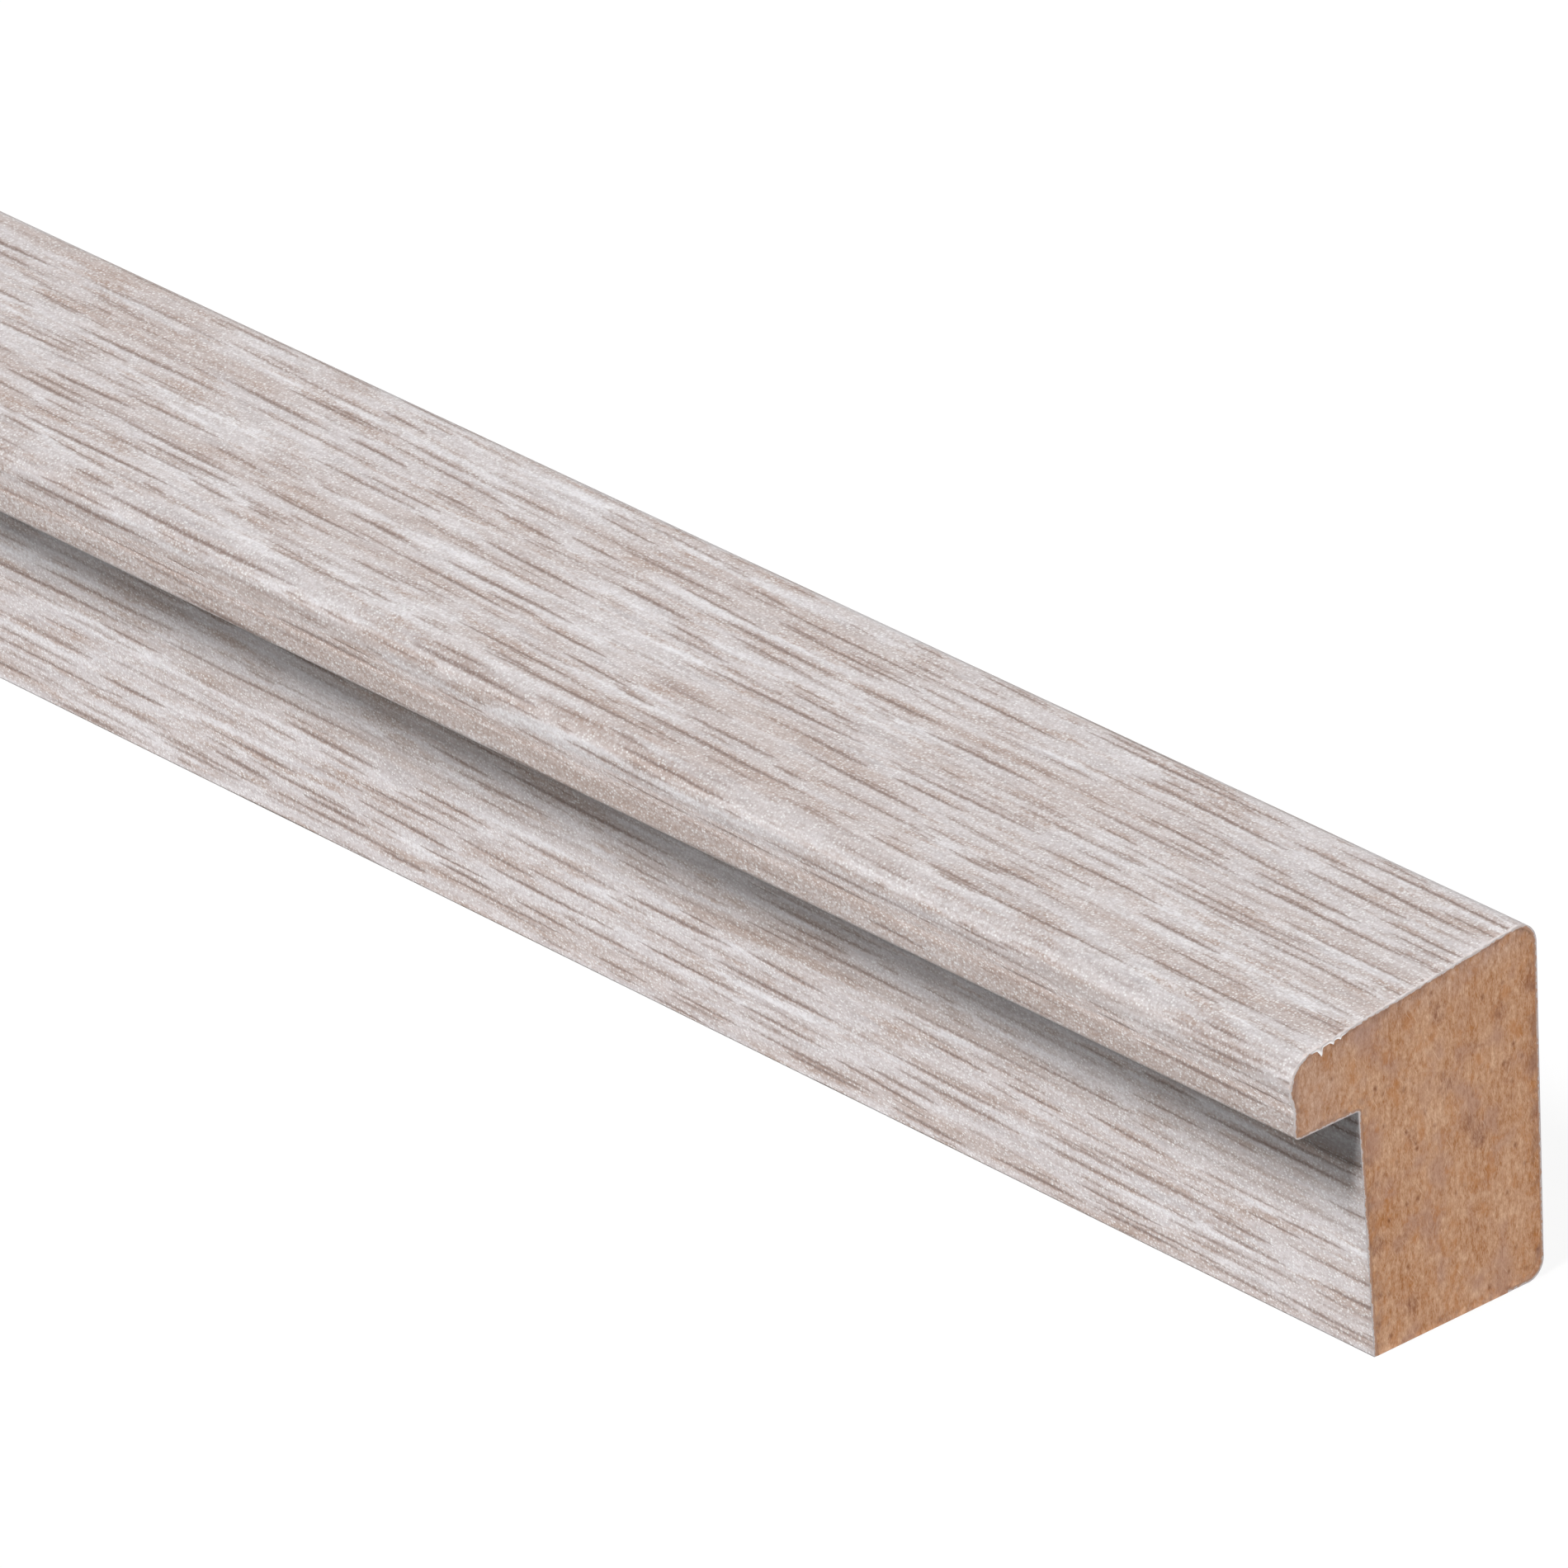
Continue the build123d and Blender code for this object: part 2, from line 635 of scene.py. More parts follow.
    def mix(self, share: Value, first: Socket | tuple, second: Socket | tuple) -> Socket:
        """Go from one colour to another.

        Args:
            share: how far to go, from 0 to 1.
            first: linear colour at 0.
            second: linear colour at 1.

        Returns:
            The mixed colour. The node's inputs 6 and 7 and its output 2 are those for colours.
        """
        node = self.node("ShaderNodeMix", share, data_type="RGBA", blend_type="MIX", clamp_factor=True)
        self.feed(node.inputs[6], first)
        self.feed(node.inputs[7], second)
        return node.outputs[2]

    def tint(self, colour: Socket, over: Colour, share: Value) -> Socket:
        """Lay a display colour over a colour, by a share of 0 to 1."""
        return self.mix(share, colour, linear(over))

    def shade(self, colour: Socket, factor: Value) -> Socket:
        """Multiply a colour or a vector by one number.

        Args:
            colour: the colour or vector.
            factor: the number.

        Returns:
            The product.
        """
        node = self.node("ShaderNodeVectorMath", colour, operation="SCALE")
        self.feed(node.inputs["Scale"], factor)
        return node.outputs["Vector"]

    def filtered(self, colour: Socket, factors: Socket) -> Socket:
        """Multiply a colour's red, green and blue by those of another."""
        return self.node("ShaderNodeVectorMath", colour, factors, operation="MULTIPLY").outputs["Vector"]

    def show(self, shader: Socket, output: Output) -> None:
        """Link a shader to the tree's output."""
        self.feed(self.node(output.value).inputs["Surface"], shader)

    def show_mixed(self, share: Socket, first: Socket, second: Socket, output: Output) -> None:
        """Link a mix of two shaders, by a share of 0 to 1, to the tree's output."""
        self.show(self.node("ShaderNodeMixShader", share, first, second).outputs["Shader"], output)

    def finish(self, colour: Socket, roughness: Socket, specular: float, height: Socket,
               depth: float) -> None:
        """Put a finish together on one surface shader.

        Args:
            colour: its colour.
            roughness: its roughness.
            specular: its specular level, the same all over.
            height: its relief, from 0 to 1.
            depth: what that relief stands for, in millimetres.
        """
        bump = self.node("ShaderNodeBump")
        self.feed_named(bump, {"Strength": 1.0, "Distance": depth * MM, "Height": height})
        shader = self.node("ShaderNodeBsdfPrincipled")
        self.feed_named(shader, {"Base Color": colour, "Roughness": roughness, "Specular IOR Level": specular,
                                 "Normal": bump.outputs["Normal"]})
        self.show(shader.outputs["BSDF"], Output.MATERIAL)


# The saw frays the foil where its teeth come out, from the lip over the top to the back edge.
FRAYED = Stretch(21.8, 46.4, 2.2)


@dataclass(frozen=True)
class PoreLayer:
    """One layer of dark pores in the decor: rows of bricks, with one thin tapered dash in each.

    Attributes:
        brick: usual length and width of a brick, in millimetres.
        offset: where the rows start, as a share of the brick's width.
        length: shortest and longest dash, as shares of the brick's length.
        width: half width of the narrowest and widest dash, in millimetres.
        ink: how dark the dashes are at most.
        bare: draw of ink up to which a brick stays bare; below 0, every brick is inked.
        seed: what the dashes are drawn from.
        full: draw of ink from which a dash is as dark as any.
        row_length: shortest and longest bricks that a row may have, as factors of the usual length.
        row_line: where a row's line may lie, as shares of the brick's width.
        stray: how far a dash lies off its row's line at most, as a share of the brick's width.
        lean: most and least that dashes fall, in brick's widths for a brick's length.
        taper: power by which a dash narrows towards its ends.
        halo: how far the halo reaches on either side of a dash, in millimetres.
        halo_edge: share of the brick's width over which the halo fades at the brick's sides.
    """

    brick: Pair
    offset: float
    length: Pair
    width: Pair
    ink: float
    bare: float
    seed: float
    full: float = 0.7
    row_length: Pair = (0.7, 1.7)
    row_line: Pair = (0.3, 0.7)
    stray: float = 0.06
    lean: Pair = (-0.25, -0.05)
    taper: float = 0.35
    halo: Pair = (0.65, 0.325)
    halo_edge: float = 0.15

    def dashes(self, sheet: NodeSheet, along: Socket, across: Socket) -> tuple[Socket, Socket]:
        """Print the layer. The dashes of a row keep near one line, and each leans a little.

        A dash's half width falls as a power of one less the squared share of its half length, and
        a soft halo lies round it, wider on one side.

        Args:
            sheet: the material's node tree.
            along: place along the grain, in millimetres.
            across: place across the grain, in millimetres.

        Returns:
            How much pore and how much halo there is, from 0 to 1.
        """
        length, width = self.brick
        row_place = sheet.plus(sheet.over(across, width), self.offset)
        row = sheet.math("FLOOR", row_place)
        shift, draw_line, draw_brick = sheet.draws(sheet.vector(row, self.seed))
        brick = sheet.between(draw_brick, *(factor * length for factor in self.row_length))
        column_place = sheet.plus(sheet.over(along, brick), shift)
        column = sheet.math("FLOOR", column_place)
        draw_length, draw_width, draw_ink = sheet.draws(sheet.vector(column, row, self.seed))
        draw_along, draw_across, draw_lean = sheet.draws(sheet.vector(column, row, self.seed + 0.5))

        half = sheet.between(draw_length, *(share / 2 for share in self.length))
        middle = sheet.between(draw_along, half, sheet.minus(1.0, half))
        off_along = sheet.minus(sheet.minus(column_place, column), middle)
        run = sheet.over(off_along, half)
        left = sheet.minus(1.0, sheet.times(run, run), clamp=True)
        narrowed = sheet.math("POWER", left, self.taper)

        share_across = sheet.minus(row_place, row)
        lean = sheet.times(off_along, sheet.between(draw_lean, *self.lean))
        line = sheet.plus(sheet.between(draw_line, *self.row_line), lean)
        line = sheet.plus(line, sheet.between(draw_across, -self.stray, self.stray))
        off_across = sheet.times(sheet.minus(share_across, line), width)
        half_width = sheet.times(narrowed, sheet.between(draw_width, *self.width))
        ink = sheet.ramp(draw_ink, self.bare, self.full, 0.0, self.ink, smooth=False)
        dash = sheet.ramp(sheet.math("ABSOLUTE", off_across), half_width, 0.0)
        inked = sheet.times(sheet.times(dash, narrowed), ink)

        above = sheet.ramp(off_across, self.halo[0], 0.0)
        below = sheet.ramp(off_across, -self.halo[1], 0.0)
        inside = sheet.ramp(sheet.math("PINGPONG", share_across, 0.5), 0.0, self.halo_edge)
        soft = sheet.times(sheet.times(above, below), sheet.times(left, ink))
        return inked, sheet.times(soft, inside)


@dataclass(frozen=True)
class PrintAndGlintDots:
    """Fine pale dots of many sizes, one to a cell: partly the print's pale speckle, partly painted glints of
    the pressed surface.

    Attributes:
        cell: length and width of a cell, in millimetres.
        seed: what the dots are drawn from.
        drift: how far the speckle pushes them across the grain, in millimetres.
        size: reach of the smallest and the largest, as shares of a cell.
        core: how far from its middle a dot is full, as a share of a cell.
        white: how white the faintest and the clearest are.
    """

    cell: Pair = (0.20, 0.165)
    seed: float = 9.6
    drift: float = 0.03
    size: Pair = (0.35, 0.8)
    core: float = 0.15
    white: Pair = (0.1, 1.0)


@dataclass(frozen=True)
class Wander:
    """Cloudy noise that pushes the print across the grain.

    Attributes:
        clouds: the noise.
        reach: how far it pushes, in millimetres, at about the most.
    """

    clouds: Clouds
    reach: float


@dataclass(frozen=True)
class PaintedShading:
    """A stretch of the foil painted lighter or darker than the rest, by a factor: painted light where the
    factor is over 1, painted shade where it is under 1.
    """

    stretch: Stretch
    factor: float


@dataclass(frozen=True)
class OakDecor:
    """Finish of the foil's face: a matt print of whitewashed oak, pressed with its pores.

    The print follows the foil round the section, in millimetres of length and of arc. Each wander
    pushes it across the grain, and an ease named x_on_y tells how much of x shows by what y is.

    Attributes:
        painted_glint: colour of the dots, which are partly pale print and partly painted glints.
        bare: colour where the print is worn off.
        broad: broad clouds, beige where they are full.
        dot_rise: height of a dot, as a share of a pore's depth.
        lip: stretch of the lip, which is more beige, by the lip's share.
        painted_shading: stretches painted darker or lighter for how the light falls: painted shade in the
            rebate, on the lip front, on the nose, over the top face and along the back edge, and painted
            light in the cove.
        frayed: stretch where the saw frayed the foil.
        worn: width in millimetres of the uneven band at the sawn ends where the print is worn.
        worn_off: share of that band over which the wear is full.
        wear: how much is worn off on calm and on frayed stretches.
        roughness: roughness on the ground and on the dots.
        pressed: depth of the pores, in millimetres.
    """

    ground: Colour = (214, 208, 209)
    pale: Colour = (234, 232, 235)
    beige: Colour = (181, 160, 149)
    grey: Colour = (188, 181, 182)
    pore: Colour = (136, 118, 112)
    painted_glint: Colour = (248, 247, 247)
    bare: Colour = (224, 220, 219)
    sway: Wander = Wander(Clouds((95.0, 34.0), 1.3, 1.0), 1.0)
    waver: Wander = Wander(Clouds((14.0, 3.0), 2.7, 1.0), 0.22)
    streak_edge: Wander = Wander(Clouds((0.6, 0.35), 3.1, 1.0), 0.10)
    pore_edge: Wander = Wander(Clouds((0.8, 0.4), 3.9, 1.0), 0.06)
    broad: Clouds = Clouds((30.0, 2.4), 12.8, ease=Ease(0.47, 0.68, 0.0, 0.55))
    pale_on_broad: Ease = Ease(0.6, 0.4, 0.5, 1.0)
    pale_streaks: Clouds = Clouds((20.0, 0.95), 5.9, 3.0, 0.6, Ease(0.44, 0.68))
    grey_streaks: Clouds = Clouds((7.0, 0.8), 6.4, 2.0, 0.55, Ease(0.5, 0.75, 0.0, 0.55))
    beige_streaks: Clouds = Clouds((8.0, 0.95), 4.2, 3.0, 0.65, Ease(0.46, 0.72))
    fibres: Clouds = Clouds((1.5, 0.32), 8.8, 2.0, 0.6, Ease(0.25, 0.75, 0.91, 1.09, False))
    speckle: Clouds = Clouds((0.22, 0.19), 10.4, 1.0, 0.6, Ease(0.25, 0.75, 0.93, 1.07, False))
    beige_on_speckle: Ease = Ease(0.65, 0.35, 0.5, 1.0, False)
    ink_on_speckle: Ease = Ease(0.7, 0.4, 0.7, 1.0)
    tint_on_speckle: Ease = Ease(0.6, 0.3, 0.0, 0.2)
    print_and_glint_dots: PrintAndGlintDots = PrintAndGlintDots()
    dots_on_ink: Ease = Ease(0.0, 1.0, 0.95, 0.35)
    dot_rise: float = 0.25
    layers: tuple[PoreLayer, ...] = (
        PoreLayer((13.5, 1.50), 0.0, (0.45, 0.97), (0.17, 0.29), 1.0, -0.25, 0.5),
        PoreLayer((9.0, 1.50), 0.5, (0.35, 0.95), (0.13, 0.25), 0.85, 0.3, 7.5),
        PoreLayer((5.5, 1.15), 0.2, (0.35, 0.90), (0.10, 0.19), 0.6, 0.45, 15.5),
    )
    lip: Stretch = Stretch(20.6, 25.2, 1.6)
    lip_share: float = 0.75
    painted_shading: tuple[PaintedShading, ...] = (
        PaintedShading(Stretch(12.2, 20.9, 0.9), 0.51),
        PaintedShading(Stretch(21.5, 23.5, 0.5), 0.82),
        PaintedShading(Stretch(23.2, 24.8, 0.6), 1.2),
        PaintedShading(Stretch(24.3, 26.0, 0.6), 0.82),
        PaintedShading(Stretch(24.8, 28.0, 0.8), 0.92),
        PaintedShading(Stretch(25.2, 47.0, 1.6), 0.76),
        PaintedShading(Stretch(44.9, 46.3, 0.4), 0.76),
    )
    frayed: Stretch = FRAYED
    worn: Clouds = Clouds((3.0, 0.8), 11.7, 3.0, ease=Ease(0.4, 0.75, 0.05, 0.6))
    worn_off: float = 0.3
    wear: Ease = Ease(0.0, 1.0, 0.05, 0.25)
    roughness: Ease = Ease(0.0, 1.0, 0.48, 0.56)
    specular: float = 0.12
    pressed: float = 0.03

    def material(self, bar_length: float) -> bpy.types.Material:
        """Write the finish down as a material that reads the decor map.

        Args:
            bar_length: length of the bar, in millimetres.

        Returns:
            The material.
        """
        material = bpy.data.materials.new("oak_decor")
        sheet = NodeSheet(material)
        across, along, _ = sheet.split(sheet.node("ShaderNodeUVMap", uv_map=DECOR_MAP).outputs["UV"])

        def place(size: Pair, seed: float, side: Socket) -> Socket:
            """Give the place on the foil in units of this length and width."""
            return sheet.vector(sheet.over(along, size[0]), sheet.over(side, size[1]), seed)

        def noise(clouds: Clouds, side: Socket) -> Socket:
            """Add noise at this place across the grain."""
            return sheet.noise(place(clouds.size, clouds.seed, side), clouds.detail, clouds.rough)

        def drawn(clouds: Clouds, side: Socket) -> Socket:
            """Add noise and what it drives, at this place across the grain."""
            return sheet.ease(noise(clouds, side), clouds.ease)

        def pushed(side: Socket, push: Socket, reach: float) -> Socket:
            """Push a place across the grain by noise, up to about this reach either way."""
            return sheet.plus(side, sheet.times(sheet.minus(push, 0.5), 2 * reach))

        def wandered(side: Socket, wander: Wander) -> Socket:
            """Push a place across the grain by one of the print's wanders."""
            return pushed(side, noise(wander.clouds, across), wander.reach)

        # The grain wanders across the foil, and the edges of its streaks and pores are rough.
        grain = wandered(wandered(across, self.sway), self.waver)
        streak_side = wandered(grain, self.streak_edge)
        pore_side = wandered(grain, self.pore_edge)

        # Fine speckle lies all over the print, and pale dots that are partly print and partly painted glints.
        speckle = noise(self.speckle, across)
        cell = place(self.print_and_glint_dots.cell, self.print_and_glint_dots.seed, pushed(across, speckle, self.print_and_glint_dots.drift))
        distance, draw_size, draw_white, _ = sheet.cells(cell)
        dot = sheet.ramp(distance, sheet.between(draw_size, *self.print_and_glint_dots.size), self.print_and_glint_dots.core)
        print_and_glint_dots = sheet.times(dot, sheet.between(draw_white, *self.print_and_glint_dots.white))

        # Streaks of four colours make the grain.
        broad = noise(self.broad, streak_side)
        colour = sheet.mix(sheet.ease(broad, self.broad.ease), linear(self.ground), linear(self.beige))
        pale = sheet.times(drawn(self.pale_streaks, streak_side), sheet.ease(broad, self.pale_on_broad))
        colour = sheet.tint(colour, self.pale, pale)
        colour = sheet.tint(colour, self.grey, drawn(self.grey_streaks, streak_side))
        lip = sheet.times(sheet.within(across, self.lip), self.lip_share)
        beige = sheet.larger(drawn(self.beige_streaks, streak_side), lip)
        left_beige = sheet.ease(speckle, self.beige_on_speckle)
        colour = sheet.tint(colour, self.beige, sheet.times(beige, left_beige))
        colour = sheet.shade(colour, drawn(self.fibres, streak_side))

        # The pores lie over them, each in its beige halo, and the speckle and the dots, partly painted
        # glints, over all.
        layers: list[Socket] = []
        for layer in self.layers:
            dashes, halo = layer.dashes(sheet, along, pore_side)
            colour = sheet.tint(colour, self.beige, sheet.times(halo, left_beige))
            layers.append(dashes)
        ink = reduce(sheet.larger, layers)
        colour = sheet.tint(colour, self.pore, sheet.times(ink, sheet.ease(speckle, self.ink_on_speckle)))
        colour = sheet.tint(colour, self.beige, sheet.ease(speckle, self.tint_on_speckle))
        colour = sheet.shade(colour, sheet.ease(speckle, self.speckle.ease))
        # The pale dots are partly painted glints of the pressed surface.
        colour = sheet.tint(colour, self.painted_glint, sheet.times(print_and_glint_dots, sheet.ease(ink, self.dots_on_ink)))
        # Painted light and shade: the rebate, the lip front, the nose, the top face and the back edge are
        # painted darker, and the cove lighter, for how the light falls on them.
        for painted in self.painted_shading:
            share = sheet.within(across, painted.stretch)
            colour = sheet.shade(colour, sheet.ramp(share, 0.0, 1.0, 1.0, painted.factor))

        # Along the sawn ends the print is worn off in an uneven band.
        from_end = sheet.minus(bar_length / 2, sheet.math("ABSOLUTE", along))
        band = drawn(self.worn, across)
        worn = sheet.ramp(from_end, band, sheet.times(band, self.worn_off))
        worn = sheet.times(worn, sheet.ease(sheet.within(across, self.frayed), self.wear))
        colour = sheet.tint(colour, self.bare, worn)

        relief = sheet.minus(sheet.times(print_and_glint_dots, self.dot_rise), ink)
        sheet.finish(colour, sheet.ease(print_and_glint_dots, self.roughness), self.specular, relief, self.pressed)
        return material


@dataclass(frozen=True)
class FoilCut:
    """Finish of the foil's cut edges: pale paper on the outside, and glue and board dust behind it.

    Depths are shares of the foil's thickness.

    Attributes:
        paper: colour of the bare paper.
        ink: colour of the print's thin edge, a grey that is partly the print and partly painted shade on the
            calm stretches, as at the foot.
        dust: colour of the glue and dust.
        flake: colour of the torn flakes, bare paper painted whiter than the rest, partly as painted light on
            their shaded side.
        share: depth of the bare paper on calm and on frayed stretches.
        uneven: how the fibres make that depth uneven.
        blur: half the depth over which the paper turns to dust.
        ink_depth: how the print's edge ends below the face.
        ink_calm: how it is lost where the foil is frayed.
        dusty: how the fibres hold dust in the paper.
        frayed: stretch where the saw frayed the foil.
        torn: stretch of the torn flakes, which are bare paper all through.
        flake_depth: depths over which the flakes get their own colour.
        tuft: size of a tuft of fibres, in millimetres.
        fibre: finer layers of the fibres, and how strong those are.
        roughness: how rough the fibres make the cut.
        specular: specular level.
        relief: depth of the fibres, in millimetres.
    """

    paper: Colour = (198, 191, 190)
    ink: Colour = (168, 160, 162)
    dust: Colour = (170, 134, 112)
    flake: Colour = (244, 241, 240)
    share: Pair = (0.4, 0.78)
    uneven: Ease = Ease(0.3, 0.7, -0.4, 0.4, False)
    blur: float = 0.12
    ink_depth: Ease = Ease(0.22, 0.08)
    ink_calm: Ease = Ease(0.5, 0.0)
    dusty: Ease = Ease(0.45, 0.7, 0.0, 0.3)
    frayed: Stretch = FRAYED
    torn: Stretch = Stretch(27.9, 30.8, 0.4)
    flake_depth: Ease = Ease(0.3, 0.9)
    tuft: float = 0.35
    fibre: Pair = (3.0, 0.65)
    roughness: Ease = Ease(0.3, 0.7, 0.7, 0.85)
    specular: float = 0.25
    relief: float = 0.02

    def material(self) -> bpy.types.Material:
        """Write the finish down as a material on object coordinates, the decor map and the depth.

        Returns:
            The material.
        """
        material = bpy.data.materials.new("foil_cut")
        sheet = NodeSheet(material)
        place = sheet.node("ShaderNodeTexCoord").outputs["Object"]
        across, _, _ = sheet.split(sheet.node("ShaderNodeUVMap", uv_map=DECOR_MAP).outputs["UV"])
        depth = sheet.node("ShaderNodeAttribute", attribute_name=DEPTH).outputs["Fac"]
        fibres = sheet.noise(sheet.shade(place, 1 / (self.tuft * MM)), *self.fibre)
        frayed = sheet.within(across, self.frayed)
        torn = sheet.within(across, self.torn)

        share = sheet.plus(sheet.ramp(frayed, 0.0, 1.0, *self.share), sheet.ease(fibres, self.uneven))
        behind = sheet.minus(depth, sheet.plus(share, torn))
        # The print's grey edge on the calm stretches is partly painted shade.
        printed = sheet.times(sheet.ease(depth, self.ink_depth), sheet.ease(frayed, self.ink_calm))
        colour = sheet.mix(sheet.ease(fibres, self.dusty), linear(self.paper), linear(self.dust))
        colour = sheet.tint(colour, self.ink, printed)
        colour = sheet.tint(colour, self.dust, sheet.ramp(behind, -self.blur, self.blur))
        # The torn flakes are painted whiter than the paper, partly as painted light.
        colour = sheet.tint(colour, self.flake, sheet.times(torn, sheet.ease(depth, self.flake_depth)))
        sheet.finish(colour, sheet.ease(fibres, self.roughness), self.specular, fibres, self.relief)
        return material


@dataclass(frozen=True)
class Specks:
    """Round specks of random size and darkness, one to a cell.

    Attributes:
        cell: width and height of a cell, in millimetres.
        seed: what the specks are drawn from.
        size: reach of the smallest and the largest, as shares of a cell.
        bare: draw of darkness up to which a cell stays bare.
        ragged: how much the fibres fray a speck, as a share of a cell.
    """

    cell: Pair
    seed: float
    size: Pair
    bare: float
    ragged: float = 0.15


@dataclass(frozen=True)
class Fibreboard:
    """Finish of the sawn board: fine brown wood fibre with dark specks, rusty spots and pale threads.

    Attributes:
        weights: how much the mottling, the fibre bundles and the fine fibre move the board's
            colour from dark to light.
        haze: where the board is mauve.
        stain_strength: factor by which the stains are darker than drawn.
        stain_on_bundles: how much of a stain the fibre bundles leave.
        threads: sets of pale threads, upright and leaning to either side.
        rim_dark_patches: where the board is darker in patches along its rim, next to the foil.
        rim_dark_reach: how that darkening fades away from the rim, by the distance in millimetres.
        ash: linear factors by which ashen layers differ in red, green and blue.
        face_layer: levels below the sloping face, as heights in millimetres at the middle of the
            bar, between which the board turns ashen.
        slope: how much the face rises for each millimetre across.
        lip_layer: places across the bar between which the lip turns ashen.
        back_layer: places across the bar between which the back turns dark.
        back_dark: how far that takes the colour from light to dark.
        roughness: how rough the fibres make the board.
        specular: specular level.
        relief: depth of the fibres, in millimetres.
    """

    light: Colour = (212, 174, 145)
    dark: Colour = (157, 103, 60)
    rust: Colour = (176, 116, 66)
    speck: Colour = (116, 66, 42)
    stain: Colour = (126, 82, 66)
    mauve: Colour = (162, 126, 114)
    thread: Colour = (224, 194, 168)
    # Colour of the darker line in patches along the rim, next to the foil.
    glue: Colour = (132, 98, 84)
    mottle: Clouds = Clouds((3.0, 3.6), 1.5, 3.0, 0.6)
    bundles: Clouds = Clouds((0.34, 0.7), 13.5, 3.0, 0.65)
    fibres: Clouds = Clouds((0.09, 0.22), 3.5, 2.0, 0.65)
    weights: Triple = (0.85, 1.65, 1.15)
    haze: Clouds = Clouds((2.4, 3.0), 17.5, 2.0, 0.55, Ease(0.48, 0.72, 0.0, 0.45))
    rust_spots: Clouds = Clouds((1.1, 1.3), 15.5, 4.0, 0.65, Ease(0.5, 0.7, 0.0, 0.6))
    stains: Specks = Specks((2.5, 3.0), 7.5, (0.3, 0.62), 0.3)
    stain_strength: float = 1.7
    stain_on_bundles: Ease = Ease(0.3, 0.65, 1.0, 0.3)
    specks: Specks = Specks((0.8, 0.96), 5.5, (0.27, 0.54), 0.4)
    threads: tuple[Clouds, ...] = tuple(
        Clouds((0.12, 0.9), seed, 1.0, ease=Ease(0.64, 0.86, 0.0, 0.5), lean=lean)
        for seed, lean in ((9.5, 0.0), (19.5, 0.55), (23.5, -0.4))
    )
    rim_dark_patches: Clouds = Clouds((0.9, 0.9), 11.5, ease=Ease(0.42, 0.62))
    rim_dark_reach: Ease = Ease(0.9, 0.0, 0.0, 0.5)
    ash: Triple = (0.95, 1.0, 1.12)
    face_layer: Pair = (20.6, 22.4)
    slope: float = 0.114
    lip_layer: Pair = (-4.5, -7.5)
    back_layer: Pair = (8.4, 9.8)
    back_dark: float = 0.16
    roughness: Ease = Ease(0.3, 0.7, 0.8, 0.92)
    specular: float = 0.2
    relief: float = 0.04

    def material(self) -> bpy.types.Material:
        """Write the finish down as a material on object coordinates and the distance from the rim.

        Returns:
            The material.
        """
        material = bpy.data.materials.new("fibreboard")
        sheet = NodeSheet(material)
        along, across, height = sheet.split(sheet.node("ShaderNodeTexCoord").outputs["Object"])
        rim = sheet.node("ShaderNodeAttribute", attribute_name=RIM).outputs["Fac"]

        def place(size: Pair, seed: float, lean: float = 0.0) -> Socket:
            """Give the place on the board in units of a size.

            Args:
                size: width and height, in millimetres.
                seed: added to the place along the bar, for another pattern.
                lean: how far the pattern leans to the side for each millimetre of height.

            Returns:
                The place.
            """
            width, tall = size[0] * MM, size[1] * MM
            side = sheet.math("MULTIPLY_ADD", height, lean, across)
            inwards = sheet.math("MULTIPLY_ADD", along, 1 / width, seed)
            return sheet.vector(inwards, sheet.over(side, width), sheet.over(height, tall))

        def noise(clouds: Clouds) -> Socket:
            """Add noise."""
            return sheet.noise(place(clouds.size, clouds.seed, clouds.lean), clouds.detail, clouds.rough)

        def drawn(clouds: Clouds) -> Socket:
            """Add noise and what it drives."""
            return sheet.ease(noise(clouds), clouds.ease)

        def layer(level: Socket, limits: Pair) -> Socket:
            """Tell how far a level lies between two limits in millimetres, from 0 to 1."""
            return sheet.ramp(level, limits[0] * MM, limits[1] * MM)

        # Broad mottling, fibre bundles and fine fibre, and the dark layer at the back
        mottle, bundles, fibres = (noise(clouds) for clouds in (self.mottle, self.bundles, self.fibres))
        value: Value = 0.5 - 0.5 * sum(self.weights)
        for pattern, weight in zip((mottle, bundles, fibres), self.weights):
            value = sheet.math("MULTIPLY_ADD", pattern, weight, value)
        value = sheet.math("MULTIPLY_ADD", layer(across, self.back_layer), -self.back_dark, value)
        colour = sheet.mix(value, linear(self.dark), linear(self.light))
        colour = sheet.tint(colour, self.mauve, drawn(self.haze))
        colour = sheet.tint(colour, self.rust, drawn(self.rust_spots))

        # The layers under the face and in the lip are ashen.
        level = sheet.math("MULTIPLY_ADD", across, -self.slope, height)
        ashen = sheet.larger(layer(level, self.face_layer), layer(across, self.lip_layer))
        colour = sheet.filtered(colour, sheet.mix(ashen, (1.0, 1.0, 1.0, 1.0), (*self.ash, 1.0)))

        def scattered(specks: Specks) -> Socket:
            """Scatter specks over the board.

            Args:
                specks: their cells and sizes.

            Returns:
                How dark they are, from 0 to 1.
            """
            distance, draw_size, draw_dark, _ = sheet.cells(place(specks.cell, specks.seed))
            frayed = sheet.plus(distance, sheet.times(fibres, specks.ragged))
            spot = sheet.ramp(frayed, sheet.between(draw_size, *specks.size), 0.0)
            return sheet.times(spot, sheet.ramp(draw_dark, specks.bare, 1.0, smooth=False))

        # Stains and specks, pale threads over them, and a darker line in patches along the rim
        stained = sheet.times(scattered(self.stains), self.stain_strength, clamp=True)
        stained = sheet.times(stained, sheet.ease(bundles, self.stain_on_bundles))
        colour = sheet.tint(colour, self.stain, stained)
        colour = sheet.tint(colour, self.speck, scattered(self.specks))
        for threads in self.threads:
            colour = sheet.tint(colour, self.thread, drawn(threads))
